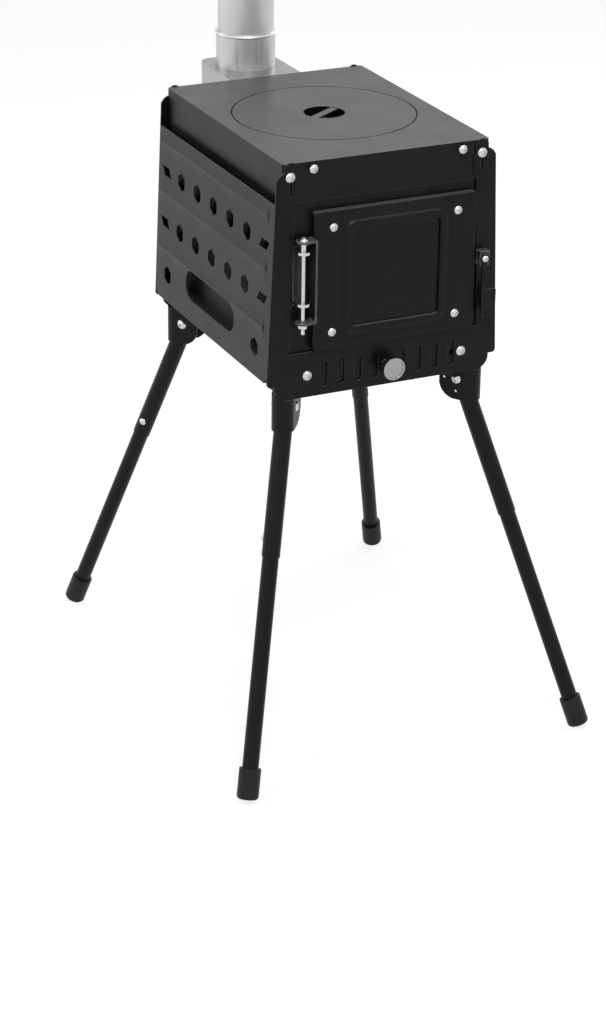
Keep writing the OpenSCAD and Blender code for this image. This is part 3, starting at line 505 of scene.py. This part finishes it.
def seen_rays(tree):
    """1 for rays from the camera, and for those that metal and glass send on."""
    rays = tree.nodes.new("ShaderNodeLightPath")
    total = rays.outputs["Is Camera Ray"]
    for other in ("Is Glossy Ray", "Is Transmission Ray"):
        either = tree.nodes.new("ShaderNodeMath")
        either.operation = "MAXIMUM"
        tree.links.new(total, either.inputs[0])
        tree.links.new(rays.outputs[other], either.inputs[1])
        total = either.outputs["Value"]
    return total


def stage_floor():
    """Pale floor, white where it is seen apart from a share that keeps the shadow."""
    white_share = 0.82
    reach = 12
    mesh = bpy.data.meshes.new("floor")
    corners = [(-reach, -reach, 0), (reach, -reach, 0), (reach, reach, 0), (-reach, reach, 0)]
    mesh.from_pydata(corners, [], [(0, 1, 2, 3)])
    floor = bpy.data.objects.new("floor", mesh)
    bpy.context.scene.collection.objects.link(floor)
    material, tree, shader = new_material("pale floor")
    shader.inputs["Base Color"].default_value = (0.85, 0.85, 0.85, 1)
    shader.inputs["Roughness"].default_value = 0.9
    shader.inputs["Specular IOR Level"].default_value = 0.0
    white = tree.nodes.new("ShaderNodeEmission")
    white.inputs["Color"].default_value = (1, 1, 1, 1)
    share = tree.nodes.new("ShaderNodeMath")
    share.operation = "MULTIPLY"
    share.inputs[1].default_value = white_share
    tree.links.new(seen_rays(tree), share.inputs[0])
    mix = tree.nodes.new("ShaderNodeMixShader")
    tree.links.new(share.outputs["Value"], mix.inputs["Fac"])
    tree.links.new(shader.outputs["BSDF"], mix.inputs[1])
    tree.links.new(white.outputs["Emission"], mix.inputs[2])
    tree.links.new(mix.outputs["Shader"], tree.nodes["Material Output"].inputs["Surface"])
    mesh.materials.append(material)


def studio_world():
    """White where it is seen, in metal or glass too, and a softer grey as light."""
    world = bpy.data.worlds.new("studio")
    bpy.context.scene.world = world
    world.use_nodes = True
    tree = world.node_tree
    tree.nodes.clear()
    out = tree.nodes.new("ShaderNodeOutputWorld")
    mix = tree.nodes.new("ShaderNodeMixShader")
    light = tree.nodes.new("ShaderNodeBackground")
    light.inputs["Color"].default_value = (0.97, 0.98, 1.0, 1)
    light.inputs["Strength"].default_value = 0.55
    seen = tree.nodes.new("ShaderNodeBackground")
    seen.inputs["Color"].default_value = (1, 1, 1, 1)
    seen.inputs["Strength"].default_value = 1.0
    tree.links.new(seen_rays(tree), mix.inputs["Fac"])
    tree.links.new(light.outputs["Background"], mix.inputs[1])
    tree.links.new(seen.outputs["Background"], mix.inputs[2])
    tree.links.new(mix.outputs["Shader"], out.inputs["Surface"])


def area_light(name, place, aim, size, power):
    """A round lamp, size metres across and power watts strong."""
    data = bpy.data.lights.new(name, "AREA")
    data.shape = "DISK"
    data.size = size
    data.energy = power
    lamp = bpy.data.objects.new(name, data)
    lamp.location = place
    lamp.rotation_euler = (Vector(aim) - Vector(place)).to_track_quat("-Z", "Y").to_euler()
    bpy.context.scene.collection.objects.link(lamp)


def photo_camera():
    """Stands where the photograph's straight edges put it, with no shift."""
    azimuth, elevation, roll = map(math.radians, (25.3323, 24.8775, 0.7616))
    place = Vector((-1.22705, -2.55178, 1.50554))
    focal_pixels = 2694.65
    picture_h = 1024
    forward = Vector((math.sin(azimuth) * math.cos(elevation), math.cos(azimuth) * math.cos(elevation),
                      -math.sin(elevation)))
    right = forward.cross(Vector((0, 0, 1))).normalized()
    up = right.cross(forward)
    right, up = (right * math.cos(roll) + up * math.sin(roll), up * math.cos(roll) - right * math.sin(roll))
    data = bpy.data.cameras.new("camera")
    data.sensor_fit = "AUTO"
    data.lens = data.sensor_width * focal_pixels / picture_h
    data.clip_end = 60
    camera = bpy.data.objects.new("camera", data)
    camera.matrix_world = Matrix.Translation(place) @ Matrix((right, up, -forward)).transposed().to_4x4()
    bpy.context.scene.collection.objects.link(camera)
    bpy.context.scene.camera = camera


stage_floor()
studio_world()
photo_camera()
FIREBOX = (0, 0, 0.5)
FLUE = (0, 0.2, 0.8)
area_light("key", (0.6, 0.9, 2.9), FIREBOX, 2.2, 55)
area_light("fill", (-2.6, -0.6, 1.9), FIREBOX, 1.8, 11)
area_light("left rim", (-2.3, 1.9, 1.3), FLUE, 1.3, 22)
area_light("right rim", (2.6, 1.3, 1.3), FLUE, 1.3, 22)
area_light("edge light", (-0.5, -1.5, 2.7), FIREBOX, 0.6, 48)
bpy.context.scene.view_settings.view_transform = "Standard"
